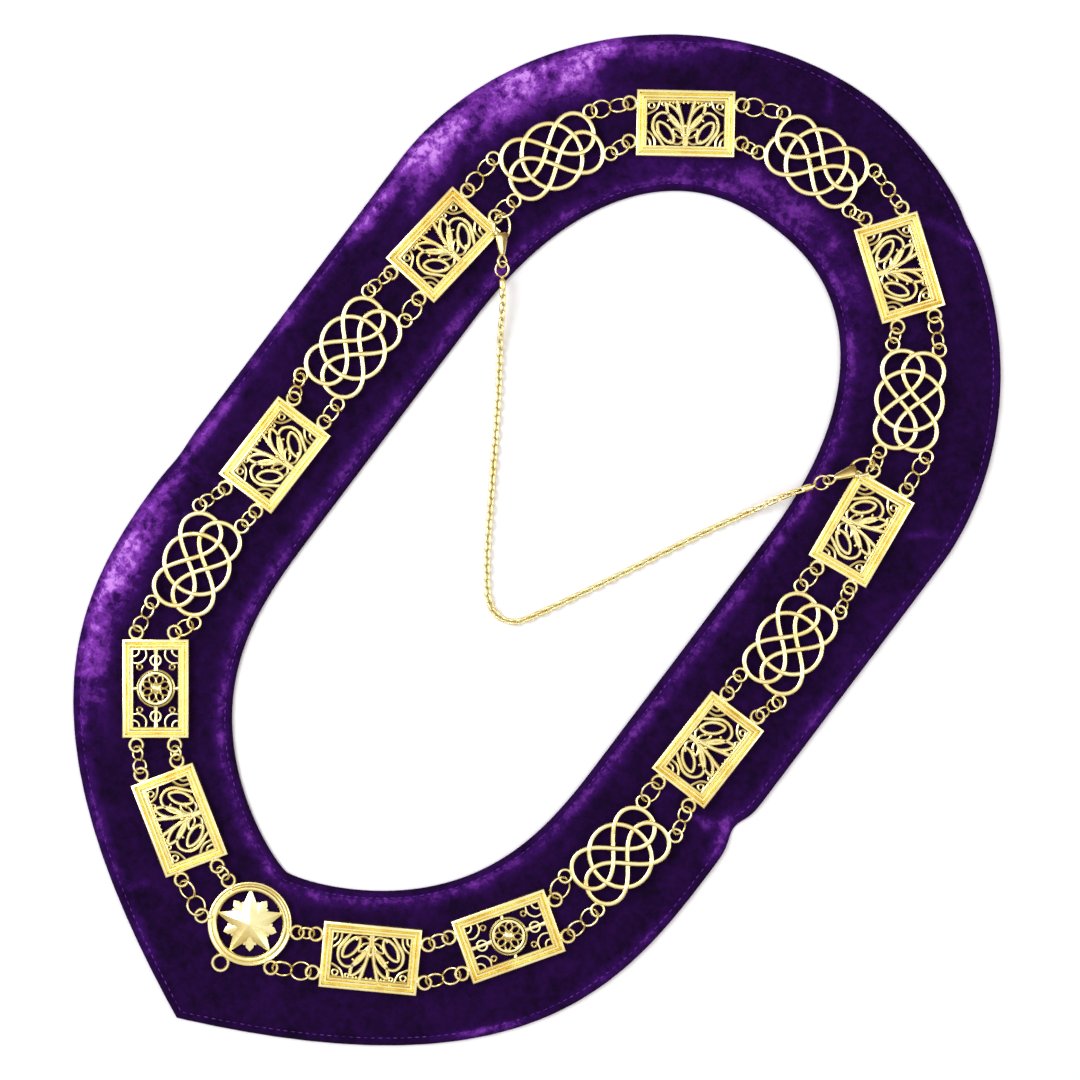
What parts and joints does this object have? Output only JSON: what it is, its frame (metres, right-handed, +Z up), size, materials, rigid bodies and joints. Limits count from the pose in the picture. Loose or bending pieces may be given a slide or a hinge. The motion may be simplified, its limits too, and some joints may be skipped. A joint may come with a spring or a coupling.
{
  "type": "chain collar",
  "caption": "Ceremonial velvet collar with a pointed front, carrying linked gilt plates and knots and a thin clasped back chain.",
  "frame": {"origin": "middle of the footprint, on the surface the collar lies on", "axes": "+Y from the pointed front to the back of the neck, +Z up out of the velvet"},
  "size_m": [0.305, 0.5194, 0.011],
  "materials": {
    "gilt_brass": "polished pale gold plate",
    "purple_velvet": "short-pile velvet with topstitched hems"
  },
  "bodies": {
    "collar": {"velvet_band": "purple_velvet", "star_medallion": "gilt_brass", "filigree_plate_1": "gilt_brass", "filigree_plate_2": "gilt_brass", "filigree_plate_3": "gilt_brass", "filigree_plate_4": "gilt_brass", "filigree_plate_5": "gilt_brass", "filigree_plate_6": "gilt_brass", "filigree_plate_7": "gilt_brass", "filigree_plate_8": "gilt_brass", "rosette_plate_1": "gilt_brass", "rosette_plate_2": "gilt_brass", "knot_link_1": "gilt_brass", "knot_link_2": "gilt_brass", "knot_link_3": "gilt_brass", "knot_link_4": "gilt_brass", "knot_link_5": "gilt_brass", "knot_link_6": "gilt_brass", "knot_link_7": "gilt_brass", "inner_rings_01": "gilt_brass", "outer_rings_01": "gilt_brass", "inner_rings_02": "gilt_brass", "outer_rings_02": "gilt_brass", "inner_rings_03": "gilt_brass", "outer_rings_03": "gilt_brass", "inner_rings_04": "gilt_brass", "outer_rings_04": "gilt_brass", "inner_rings_05": "gilt_brass", "outer_rings_05": "gilt_brass", "inner_rings_06": "gilt_brass", "outer_rings_06": "gilt_brass", "inner_rings_07": "gilt_brass", "outer_rings_07": "gilt_brass", "inner_rings_08": "gilt_brass", "outer_rings_08": "gilt_brass", "inner_rings_09": "gilt_brass", "outer_rings_09": "gilt_brass", "inner_rings_10": "gilt_brass", "outer_rings_10": "gilt_brass", "inner_rings_11": "gilt_brass", "outer_rings_11": "gilt_brass", "inner_rings_12": "gilt_brass", "outer_rings_12": "gilt_brass", "inner_rings_13": "gilt_brass", "outer_rings_13": "gilt_brass", "inner_rings_14": "gilt_brass", "outer_rings_14": "gilt_brass", "inner_rings_15": "gilt_brass", "outer_rings_15": "gilt_brass", "inner_rings_16": "gilt_brass", "outer_rings_16": "gilt_brass", "inner_rings_17": "gilt_brass", "outer_rings_17": "gilt_brass", "inner_rings_18": "gilt_brass", "outer_rings_18": "gilt_brass", "back_chain": "gilt_brass", "clasp_left": "gilt_brass", "clasp_right": "gilt_brass"},
    "left_lever": {"lever_left": "gilt_brass"},
    "right_lever": {"lever_right": "gilt_brass"}
  },
  "joints": [
    {"name": "left_lever_hinge", "type": "hinge", "parent": "collar", "child": "left_lever", "pos_m": [-0.09729, 0.10883, 0.00932], "axis": [-0.4802, -0.3442, -0.8068], "range_deg": [0, 25], "stiffness_Nm_per_rad": 0.004, "springref_deg": -11.46},
    {"name": "right_lever_hinge", "type": "hinge", "parent": "collar", "child": "right_lever", "pos_m": [0.09742, 0.11978, 0.00932], "axis": [-0.4979, 0.2989, 0.8141], "range_deg": [0, 25], "stiffness_Nm_per_rad": 0.004, "springref_deg": -11.46}
  ]
}
